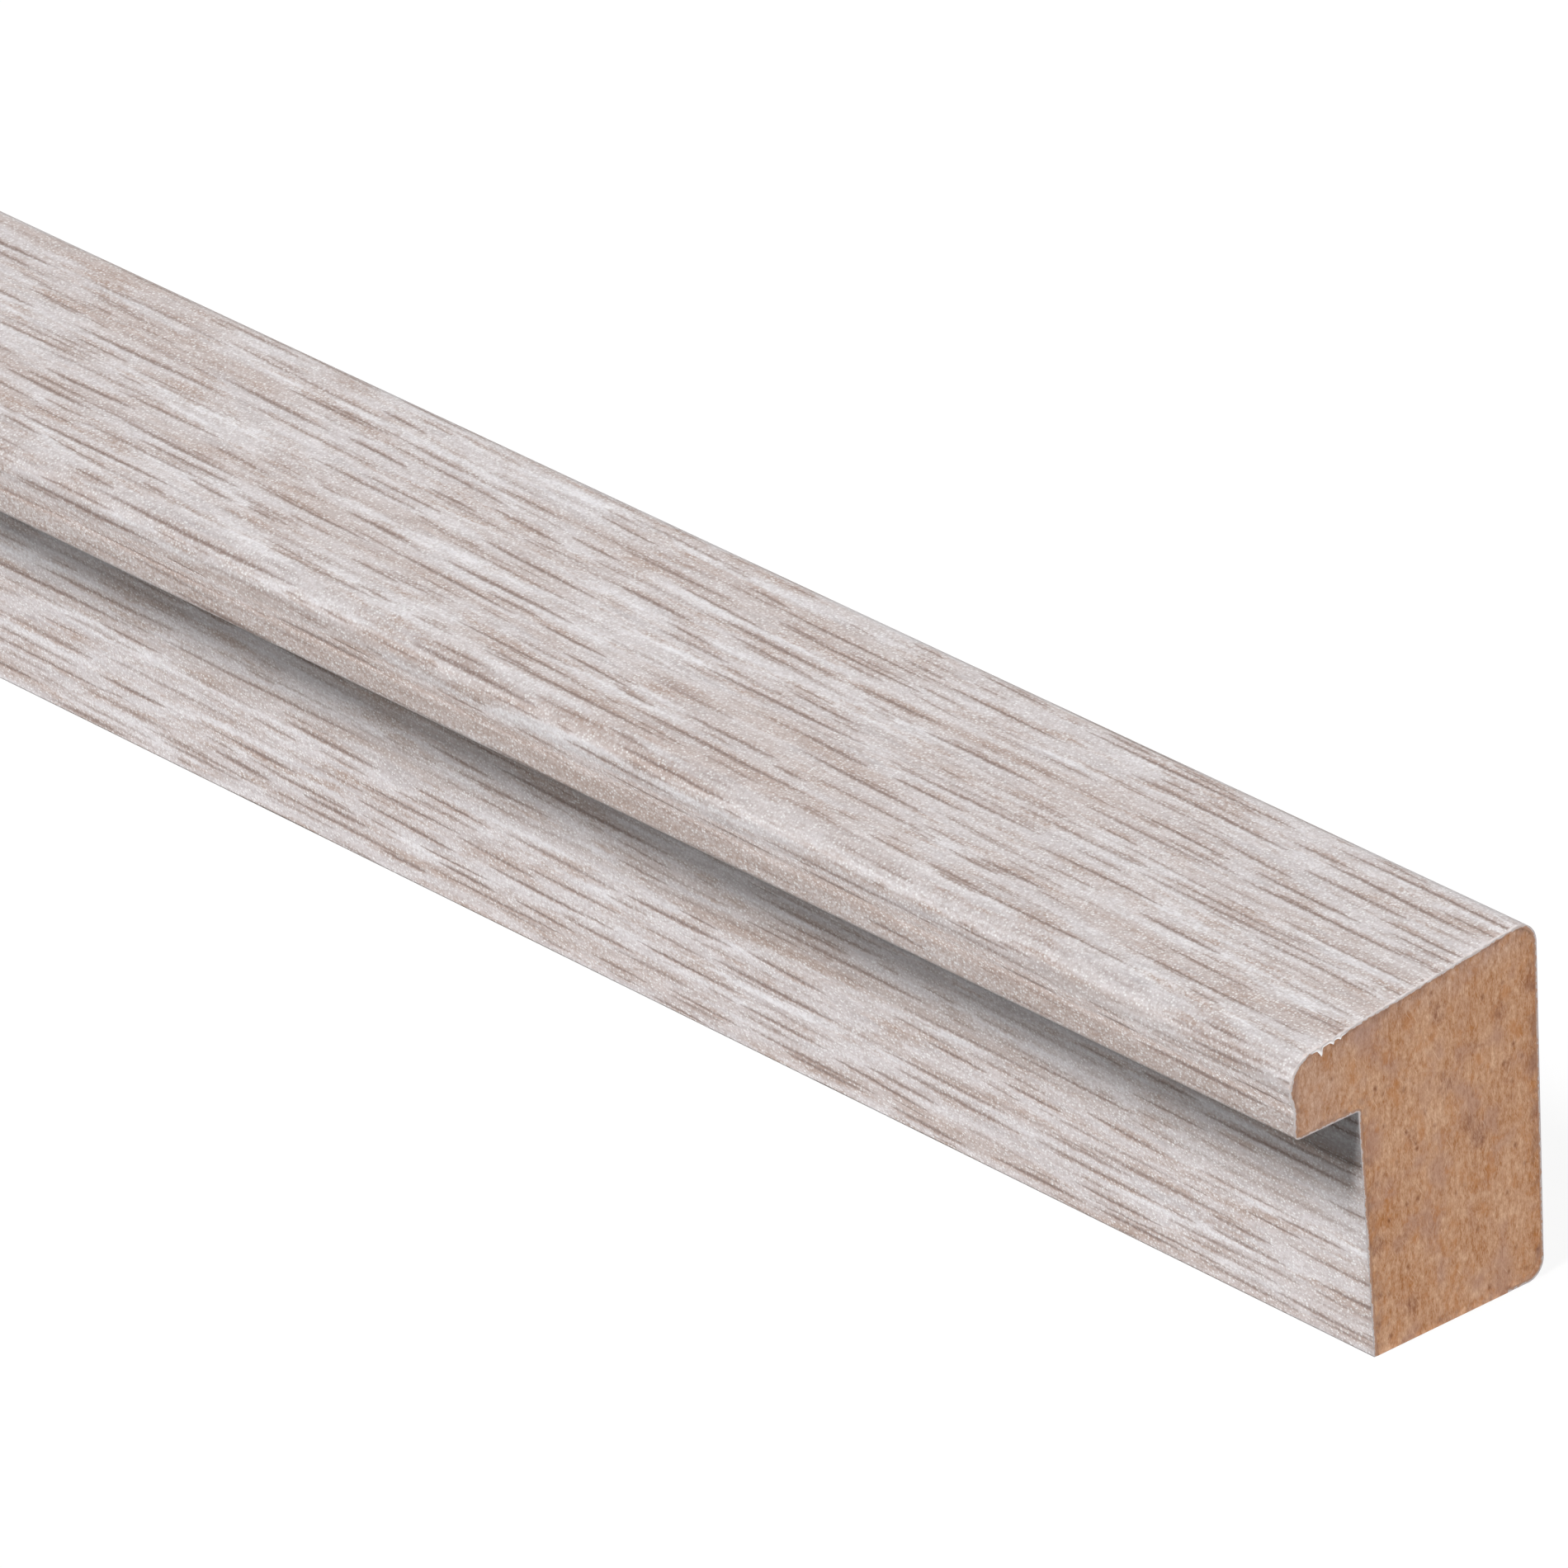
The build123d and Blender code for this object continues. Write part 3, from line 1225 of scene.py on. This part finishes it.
        # A darker line in patches along the rim, next to the foil.
        glued = sheet.times(sheet.ease(rim, self.rim_dark_reach), drawn(self.rim_dark_patches))
        colour = sheet.tint(colour, self.glue, glued)
        sheet.finish(colour, sheet.ease(fibres, self.roughness), self.specular, fibres, self.relief)
        return material


@dataclass
class Stock:
    """What both pieces share: the section and the length of the bar.

    Attributes:
        section: sizes across the bar.
        length: length of the bar, in millimetres.
        spacing: most that points of the section lie apart.
        rows: rows into which the long surfaces are cut on the bake map.
        stations_in_row: stations along each row.
        row_gap: share of a row's height that is left free.
        map_edge: where the lowest row starts on the map, from 0 to 1.
    """

    section: Section
    length: float
    spacing: float = 0.1
    rows: int = 6
    stations_in_row: int = 4
    row_gap: float = 0.03
    map_edge: float = 0.004

    def stations(self) -> np.ndarray:
        """Places along the bar at which the section is repeated, even from end to end."""
        return np.linspace(-self.length / 2, self.length / 2, self.rows * self.stations_in_row + 1)

    def row_places(self, along: np.ndarray, share: np.ndarray, top: float) -> np.ndarray:
        """Lay long quads out on the bake map in stacked rows.

        Args:
            along: places along the bar of the quads' corners, as (quads, 4).
            share: shares of the developed width of those corners, from 0 to 1.
            top: where the rows end on the map, from 0 to 1.

        Returns:
            Places on the map as (quads, 4, 2).
        """
        run = self.length / self.rows
        row = np.clip((along.mean(axis=1) + self.length / 2) // run, 0, self.rows - 1)[:, None]
        in_rows = (row + self.row_gap / 2 + share * (1 - self.row_gap)) / self.rows
        across = self.map_edge + (top - self.map_edge) * in_rows
        return np.stack([(along + self.length / 2) / run - row, across], axis=-1)


@dataclass(frozen=True)
class Flake:
    """A flake of the foil, torn loose by the saw, in millimetres.

    Attributes:
        at: place along the decor face.
        width: half width.
        hang: how far it hangs over the board.
    """

    at: float
    width: float
    hang: float

    def bell(self, arc: np.ndarray) -> np.ndarray:
        """Work out its outline: the exponential of minus the squared distance in half widths."""
        return np.exp(-(((arc - self.at) / self.width) ** 2))


@dataclass
class DecorFoil:
    """The decor foil: one strip bent round the board, with frayed edges at the sawn ends.

    Attributes:
        stock: the section and length that it wraps.
        set_back: least and most that the print stops short of a sawn end.
        set_back_line: unevenness of that set-back.
        set_back_power: power that makes its peaks few and narrow.
        chip: least and most depth to which its edge is chipped there.
        chip_line: unevenness of the chips.
        wander: how far the chipped edge wanders along the bar.
        end_length: length at a sawn end over which the face runs out to that edge.
        flakes: torn flakes of the foil at the near end.
        lift: how far a flake stands off the sawn end at most.
        strip: height of a strip of the bake map, from 0 to 1.
        strip_edge: share of that height which is left free on either side.
        decor: finish of its face.
        cut: finish of its cut edges and its glued side.
    """

    stock: Stock
    set_back: Pair = (0.02, 0.45)
    set_back_line: Ripple = Ripple((0.55, 0.9, 1.7, 3.1, 7.3), 11)
    set_back_power: int = 4
    chip: Pair = (0.02, 0.11)
    chip_line: Ripple = Ripple((0.45, 0.8, 2.3), 21)
    wander: float = 0.04
    end_length: float = 1.5
    flakes: tuple[Flake, ...] = (
        Flake(28.6, 0.14, 0.44),
        Flake(29.6, 0.1, 0.12),
        Flake(30.2, 0.09, 0.08),
    )
    lift: float = 0.12
    strip: float = 0.008
    strip_edge: float = 0.15
    decor: OakDecor = field(default_factory=OakDecor)
    cut: FoilCut = field(default_factory=FoilCut)

    def build(self) -> bpy.types.Object:
        """Carry the foil's face and glued lines along the bar, and close its ends and long edges.

        At a sawn end the face line stops short by an uneven set-back, the last line is chipped to
        an uneven depth, and a bell-shaped flake of the glued line hangs over the board.

        Returns:
            The foil as a mesh object.
        """
        line = self.stock.section.wrap_line(self.stock.spacing)
        thickness = self.stock.section.foil_thickness
        base = self.stock.stations()
        first, last = base[[0, 0]], base[[-1, -1]]
        base = np.concatenate([first, first[:1] + self.end_length, base[1:-1],
                               last[:1] - self.end_length, last])
        along = np.repeat(base[:, None], len(line.arc), axis=1)
        face_depth = np.zeros_like(along)
        glued_depth = np.full_like(along, thickness)
        frayed = self.cut.frayed.share(line.arc)
        for end, edge, inner in ((End.FAR, 0, 1), (End.NEAR, -1, -2)):
            back = self.set_back_line.at(line.arc, end.value) ** self.set_back_power * frayed
            chip = self.chip_line.at(line.arc, end.value) * frayed
            along[inner] -= end.value * (self.set_back[0] + np.ptp(self.set_back) * back)
            along[edge] += end.value * self.wander * (chip - 0.5)
            face_depth[edge] = self.chip[0] + np.ptp(self.chip) * chip
        for flake in self.flakes:
            bell = flake.bell(line.arc)
            glued_depth[-1] += flake.hang * bell
            along[-1] += self.lift * bell

        outer = np.concatenate([along[..., None], line.at(face_depth)], axis=-1)
        inner = np.concatenate([along[..., None], line.at(glued_depth)], axis=-1)
        points = np.concatenate([outer, inner]).reshape(-1, 3)
        arc = np.broadcast_to(line.arc, along.shape)
        places = np.tile(np.stack([arc, along], axis=-1).reshape(-1, 2), (2, 1))
        piece = build_mesh("foil_wrap", points, self.patches(along.shape, places))
        depth = np.concatenate([face_depth, glued_depth]).clip(0, thickness)
        tag_points(piece, DEPTH, depth / thickness)
        return piece

    def patches(self, shape: tuple[int, int], places: np.ndarray) -> list[Patch]:
        """Sort the foil's faces into its printed face, its frayed ends and its cut or glued sides.

        Args:
            shape: stations along the bar and points across it.
            places: arc and length of each vertex, in millimetres.

        Returns:
            The patches, with both maps.
        """
        rows, columns = shape
        count = rows * columns
        face = grid_quads(rows, columns)
        frayed = np.concatenate([face[: columns - 1], face[1 - columns:]])
        printed = face[columns - 1: 1 - columns]
        glued = grid_quads(rows, columns, count)[:, ::-1]
        first = np.arange(columns - 1)
        across = np.column_stack([first, first + 1, first + 1 + count, first + count])
        ends = np.concatenate([across, (across + count - columns)[:, ::-1]])
        up = np.arange(rows - 1) * columns
        sides = np.column_stack([up, up + count, up + columns + count, up + columns])
        sides = np.concatenate([sides, (sides + columns - 1)[:, ::-1]])

        def arcs(corners: np.ndarray) -> np.ndarray:
            """Give the share of the developed width at each corner."""
            return places[corners][..., 0] / places[:, 0].max()

        def runs(corners: np.ndarray) -> np.ndarray:
            """Give the share of the bar's length at each corner."""
            return places[corners][..., 1] / self.stock.length + 0.5

        def upper_half(shares: np.ndarray) -> np.ndarray:
            """Tell the faces whose corners' shares are over a half on the mean."""
            return (shares.mean(axis=1) > 0.5)[:, None]

        def on_strip(strip: Strip, right: np.ndarray, up: np.ndarray,
                     next_one: np.ndarray | int = 0) -> np.ndarray:
            """Lay thin faces out on a strip of the bake map.

            Args:
                strip: the strip.
                right: shares of its length.
                up: shares of its height.
                next_one: 1 for the faces that lie on the strip below it, and 0 for the others.

            Returns:
                Places on the map.
            """
            low = 1 - (strip.value + 1 + next_one) * self.strip
            rise = self.strip_edge + (1 - 2 * self.strip_edge) * up
            return np.stack([right, low + self.strip * rise], axis=-1)

        on_edge = np.isin(frayed, np.concatenate([np.arange(columns), np.arange(count - columns, count)]))
        half = self.stock.length / 2
        on_bar = places[printed][..., 1].clip(-half, half)
        printed_map = self.stock.row_places(on_bar, arcs(printed), 1 - Strip.BELOW.value * self.strip)
        frayed_map = on_strip(Strip.FRAYED, arcs(frayed), on_edge, upper_half(runs(frayed)))
        ends_map = on_strip(Strip.ENDS, arcs(ends), ends >= count, upper_half(runs(ends)))
        sides_map = on_strip(Strip.SIDES, runs(sides), sides >= count, upper_half(arcs(sides)))
        glued_map = on_strip(Strip.GLUED, runs(glued), arcs(glued))
        kinds = (
            (printed, printed_map, Slot.FACE, True),
            (frayed, frayed_map, Slot.CUT, False),
            (ends, ends_map, Slot.CUT, False),
            (sides, sides_map, Slot.CUT, False),
            (glued, glued_map, Slot.CUT, True),
        )
        return [Patch(corners, {DECOR_MAP: places[corners], BAKE_MAP: bake_map}, slot, smooth)
                for corners, bake_map, slot, smooth in kinds]

    def dress(self, piece: bpy.types.Object) -> None:
        """Give the foil its finishes, and set it on the frame in place of the plain foil.

        Args:
            piece: the foil's mesh object.
        """
        piece.data.materials.append(self.decor.material(self.stock.length))
        piece.data.materials.append(self.cut.material())
        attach(piece, BODY)
        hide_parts("decor_foil")


@dataclass
class BoardCore:
    """The machined board under the foil, sawn off square at both ends.

    Attributes:
        stock: the section and length that it fills.
        hub: point of the section from which the whole outline is in sight, as (y, z).
        rings: rings of points from that hub to the outline on a sawn end.
        relief: depth of the sawn ends' unevenness.
        waves_across: that unevenness across the section.
        waves_down: that unevenness down the section.
        rim_fade: how far from a sawn end the long sides lose the end's darker rim line.
        rim_far: distance from the rim of the points that are far from any.
        walls_top: where the long sides end on the bake map, from 0 to 1.
        ends_foot: where the feet of the sawn ends lie on it.
        ends_height: how tall they are on it.
        ends_middle: where the far and the near end have their middle on it.
        board: finish of the board.
    """

    stock: Stock
    hub: Pair = (3.0, 18.5)
    rings: int = 36
    relief: float = 0.03
    waves_across: Ripple = Ripple((0.7, 1.3, 2.9), 31)
    waves_down: Ripple = Ripple((0.9, 2.1, 5.3), 32)
    rim_fade: float = 0.5
    rim_far: float = 10.0
    walls_top: float = 0.49
    ends_foot: float = 0.515
    ends_height: float = 0.46
    ends_middle: Pair = (0.25, 0.75)
    board: Fibreboard = field(default_factory=Fibreboard)

    def outline(self) -> tuple[np.ndarray, np.ndarray]:
        """Work out the board's outline: the glued line, the step at the foil's end and the foot.

        Returns:
            The points of the closed outline as (y, z), and how far the hub lies inwards of each one.
        """
        section, spacing = self.stock.section, self.stock.spacing
        line = section.wrap_line(spacing)
        glued = line.at(section.foil_thickness)
        start, end = np.array([section.return_end, 0.0]), glued[0]
        count = ceil(float(start[0] - end[0]) / (2 * spacing))
        foot = start + (end - start) * (np.arange(count) / count)[:, None]
        points = np.vstack([glued, foot])
        inward = np.vstack([line.inward, np.tile([0.0, 1.0], (count, 1))])
        return points, np.abs(((self.hub - points) * inward).sum(axis=1))

    def build(self) -> bpy.types.Object:
        """Carry the outline along the bar, and close each sawn end with rings drawn in to the hub.

        A ring's points lie at a share of the way from the hub to the outline. The sawn ends are
        uneven: each inner point is set back by ripples across and down the section.

        Returns:
            The board as a mesh object.
        """
        outline, reach = self.outline()
        columns = len(outline)
        base = self.stock.stations()
        first, last = base[:1], base[-1:]
        base = np.concatenate([first, first + self.rim_fade, base[1:-1], last - self.rim_fade, last])
        rows = len(base)
        wall = np.concatenate([np.repeat(base, columns)[:, None], np.tile(outline, (rows, 1))], axis=1)

        share = np.arange(1, self.rings) / self.rings
        spread = (np.array(self.hub) + (outline - self.hub) * share[:, None, None]).reshape(-1, 2)
        spread = np.vstack([spread, self.hub])
        waves = self.waves_across.at(spread[:, 0]) + self.waves_down.at(spread[:, 1])
        depth = self.relief * waves / 2
        half = self.stock.length / 2
        far = np.column_stack([-half + depth, spread])
        near = np.column_stack([half - depth, spread])
        points = np.vstack([wall, far, near])

        piece = build_mesh("board_core", points, self.patches(rows, columns, points))
        rim = np.full(len(points), self.rim_far)
        rim[:columns] = rim[(rows - 1) * columns: rows * columns] = 0.0
        inside = np.append(((1 - share)[:, None] * reach).ravel(), self.rim_far)
        rim[rows * columns:] = np.tile(inside, 2)
        tag_points(piece, RIM, rim)
        return piece

    def patches(self, rows: int, columns: int, points: np.ndarray) -> list[Patch]:
        """Sort the board's faces into its long sides and its two sawn ends.

        Args:
            rows: stations along the bar.
            columns: points of the outline.
            points: the vertices, in millimetres.

        Returns:
            The patches, with the bake map.
        """
        walls = grid_quads(rows, columns, closed=True)
        share = np.stack([np.arange(columns), np.arange(columns) + 1], axis=-1) / columns
        share = np.tile(share[:, [0, 0, 1, 1]], (rows - 1, 1))
        walls_map = self.stock.row_places(points[walls][..., 0], share, self.walls_top)
        patches = [Patch(walls, {BAKE_MAP: walls_map}, Slot.FACE, False)]
        scale = self.ends_height / np.ptp(points[:, 2])
        count = (self.rings - 1) * columns
        for end, middle in zip(End, self.ends_middle):
            near = end is End.NEAR
            start = rows * columns + (count + 1) * near
            wall_ring = np.arange(columns) + (rows - 1) * columns * near
            ring = np.vstack([start + np.arange(count).reshape(-1, columns), wall_ring])
            after = np.roll(ring, -1, axis=1)
            quads = np.stack([ring[:-1], after[:-1], after[1:], ring[1:]], axis=-1).reshape(-1, 4)
            fan = np.column_stack([np.full(columns, start + count), after[0], ring[0]])
            for corners in (quads, fan):
                corners = corners[:, ::-1] if near else corners
                y, z = points[corners][..., 1], points[corners][..., 2]
                end_map = np.stack([middle + y * scale, self.ends_foot + z * scale], axis=-1)
                patches.append(Patch(corners, {BAKE_MAP: end_map}, Slot.FACE, True))
        return patches

    def dress(self, piece: bpy.types.Object) -> None:
        """Give the board its finish, and set it on the frame in place of the plain board.

        Args:
            piece: the board's mesh object.
        """
        piece.data.materials.append(self.board.material())
        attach(piece, BODY)
        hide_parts("mdf_core")


@dataclass(frozen=True)
class Lamp:
    """A far, soft lamp.

    Attributes:
        name: what the lamp does.
        towards: direction from the bar to the lamp.
        strength: light on a surface square to it.
        spread: how wide the lamp looks, in degrees.
        colour: its linear colour.
        away: how far off it hangs in the scene, in metres, which its light doesn't depend on.
    """

    name: str
    towards: Triple
    strength: float
    spread: float
    colour: Triple = (1.0, 1.0, 1.0)
    away: float = 3.0

    def hang(self) -> None:
        """Put the lamp into the scene."""
        data = bpy.data.lights.new(self.name, "SUN")
        data.energy = self.strength
        data.angle = radians(self.spread)
        data.color = self.colour
        lamp = bpy.data.objects.new(self.name, data)
        lamp.rotation_mode = "QUATERNION"
        lamp.rotation_quaternion = Vector(self.towards).to_track_quat("Z", "Y")
        lamp.location = Vector(self.towards).normalized() * self.away
        bpy.context.scene.collection.objects.link(lamp)


@dataclass(frozen=True)
class Viewpoint:
    """The camera, close to the near sawn end and looking down along the bar.

    Attributes:
        azimuth: turn about the bar's upright, in degrees, 0 looking square at the front.
        elevation: height above the horizon, in degrees.
        roll: turn about the line of sight, in degrees.
        distance: from the middle of the near end's foot, along the line of sight, in millimetres.
        offset: how far the camera stands to its right and above that line.
        focal: focal length in pixels of the frame.
        frame: side of the square frame, in pixels.
        sensor: width of the camera's sensor, in millimetres.
        sight: nearest and farthest that it sees, in metres.
    """

    azimuth: float = 49.2465
    elevation: float = 27.4101
    roll: float = -2.5222
    distance: float = 1072.467
    offset: Pair = (-37.5334, 32.3745)
    focal: float = 22092.749
    frame: float = 1900.0
    sensor: float = 36.0
    sight: Pair = (0.05, 1000.0)

    def aim(self, near_end: float) -> None:
        """Put the camera into the scene, with its axes turned by azimuth, elevation and roll.

        Args:
            near_end: where the near sawn end lies along the bar, in millimetres.
        """
        turn, rise, lean = radians(self.azimuth), radians(self.elevation), radians(self.roll)
        back = Vector((sin(turn) * cos(rise), -cos(turn) * cos(rise), sin(rise)))
        level = Vector((cos(turn), sin(turn), 0.0))
        upright = back.cross(level)
        right = level * cos(lean) + upright * sin(lean)
        up = upright * cos(lean) - level * sin(lean)
        place = right * self.offset[0] + up * self.offset[1] + back * self.distance
        place += Vector((near_end, 0, 0))
        data = bpy.data.cameras.new("viewpoint")
        data.sensor_width = self.sensor
        data.lens = self.focal / self.frame * self.sensor
        data.clip_start, data.clip_end = self.sight
        camera = bpy.data.objects.new("viewpoint", data)
        turned = Matrix((right, up, back)).transposed().to_4x4()
        camera.matrix_world = Matrix.Translation(place * MM) @ turned
        bpy.context.scene.collection.objects.link(camera)
        bpy.context.scene.camera = camera


@dataclass
class Studio:
    """A pale floor, soft lamps and an even surrounding light.

    Attributes:
        floor_side: side of the floor, in metres.
        floor_grey: how much light the floor gives back to the bar.
        floor_glow: share of the floor's look that is plain white, which lightens the shadow.
        surround: even light from all round.
        surround_colour: linear colour of that light.
        lamps: the lamps.
        viewpoint: the camera.
    """

    floor_side: float = 800.0
    floor_grey: float = 0.385
    floor_glow: float = 0.9
    surround: float = 0.06
    surround_colour: Triple = (0.95, 1.0, 0.99)
    lamps: tuple[Lamp, ...] = (
        Lamp("key", (0.03, -0.57, 0.76), 3.83, 18.0, (1.0, 0.99, 0.985)),
        Lamp("fill", (0.93, 0.32, 0.12), 2.85, 50.0),
        Lamp("back", (-0.1, 0.99, 0.09), 1.0, 10.0),
        Lamp("far", (-1.0, 0.2, 0.04), 2.2, 10.0),
    )
    viewpoint: Viewpoint = field(default_factory=Viewpoint)

    @staticmethod
    def seen(sheet: NodeSheet) -> Socket:
        """Tell what the camera sees, itself or in gloss or glass, from what only lights the bar."""
        rays = sheet.node("ShaderNodeLightPath").outputs
        return reduce(sheet.larger, (rays[f"Is {kind} Ray"] for kind in ("Camera", "Glossy", "Transmission")))

    def floor(self) -> bpy.types.Object:
        """Lay the floor: white to the camera, grey to the bar, and dimmed by the bar's shadow.

        Returns:
            The floor, which is no part of the object.
        """
        corners = np.array([[-1, -1, 0], [1, -1, 0], [1, 1, 0], [-1, 1, 0]]) * self.floor_side / 2
        mesh = bpy.data.meshes.new("floor")
        mesh.from_pydata(corners.tolist(), [], [(0, 1, 2, 3)])
        floor = bpy.data.objects.new("floor", mesh)
        bpy.context.scene.collection.objects.link(floor)
        material = bpy.data.materials.new("floor_paper")
        sheet = NodeSheet(material)
        seen = self.seen(sheet)
        matt = sheet.node("ShaderNodeBsdfDiffuse", sheet.between(seen, self.floor_grey, 1.0))
        glow = sheet.node("ShaderNodeEmission")
        share = sheet.times(seen, self.floor_glow)
        sheet.show_mixed(share, matt.outputs[0], glow.outputs[0], Output.MATERIAL)
        mesh.materials.append(material)
        return floor

    def light(self) -> None:
        """Hang the lamps, and make the world white to the camera and an even light to the bar."""
        for lamp in self.lamps:
            lamp.hang()
        world = bpy.data.worlds.new("surround")
        sheet = NodeSheet(world)
        lit = sheet.node("ShaderNodeBackground", (*self.surround_colour, 1.0), self.surround)
        white = sheet.node("ShaderNodeBackground", (1.0, 1.0, 1.0, 1.0))
        sheet.show_mixed(self.seen(sheet), lit.outputs[0], white.outputs[0], Output.WORLD)
        bpy.context.scene.world = world
        bpy.context.scene.view_settings.view_transform = "Standard"


def main() -> None:
    """Build the foil and the board on the frame, and set up the studio."""
    logging.basicConfig(level=logging.INFO, format="%(name)s: %(message)s")
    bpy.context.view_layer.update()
    lowest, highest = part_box("mdf_core")
    stock = Stock(Section(), round((highest[0] - lowest[0]) / MM, 3))

    studio = Studio()
    studio.viewpoint.aim(stock.length / 2)
    for maker in (BoardCore(stock), DecorFoil(stock)):
        piece = maker.build()
        maker.dress(piece)
        mesh = piece.data
        LOG.info("%s: %d vertices, %d faces", piece.name, len(mesh.vertices), len(mesh.polygons))
    LOG.info("%s: stage", studio.floor().name)
    studio.light()


if __name__ == "__main__":
    main()
